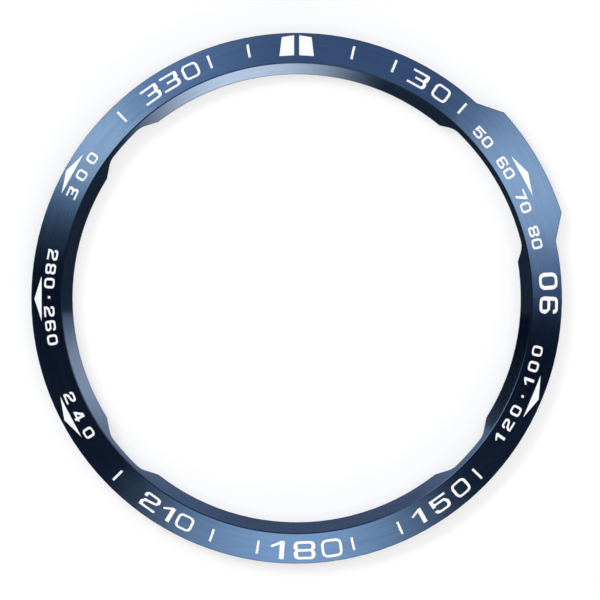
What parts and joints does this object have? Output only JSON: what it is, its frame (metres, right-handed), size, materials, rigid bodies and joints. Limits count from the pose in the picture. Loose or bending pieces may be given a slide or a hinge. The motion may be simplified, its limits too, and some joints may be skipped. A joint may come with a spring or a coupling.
{
  "type": "watch bezel ring",
  "caption": "Stick-on brushed metal bezel ring with a notched inner lip, a button guard at the upper right, enamel-filled numerals and an adhesive ring underneath.",
  "frame": {"origin": "on the ring's axis, level with the foot of the wall round the opening, on which the ring stands", "axes": "+Z along the axis, up out of the face; +Y towards twelve o'clock; +X towards three o'clock"},
  "size_m": [0.05, 0.05, 0.0022],
  "materials": {
    "blue_steel": "blue coated steel, brushed round the ring",
    "adhesive": "dark double-sided foam adhesive",
    "enamel": "white enamel"
  },
  "bodies": {
    "root": {"bezel_ring": "blue_steel", "adhesive_ring": "adhesive", "north_fill_left": "enamel", "north_fill_right": "enamel", "tick_fill": "enamel", "number_fill_30": "enamel", "number_fill_90": "enamel", "number_fill_150": "enamel", "number_fill_180": "enamel", "number_fill_210": "enamel", "number_fill_330": "enamel", "small_fill_50_to_80": "enamel", "small_fill_120_100": "enamel", "small_fill_240": "enamel", "small_fill_280_260": "enamel", "small_fill_300": "enamel", "arrow_fill_60": "enamel", "arrow_fill_110": "enamel", "arrow_fill_240": "enamel", "arrow_fill_270": "enamel", "arrow_fill_300": "enamel"}
  },
  "joints": []
}
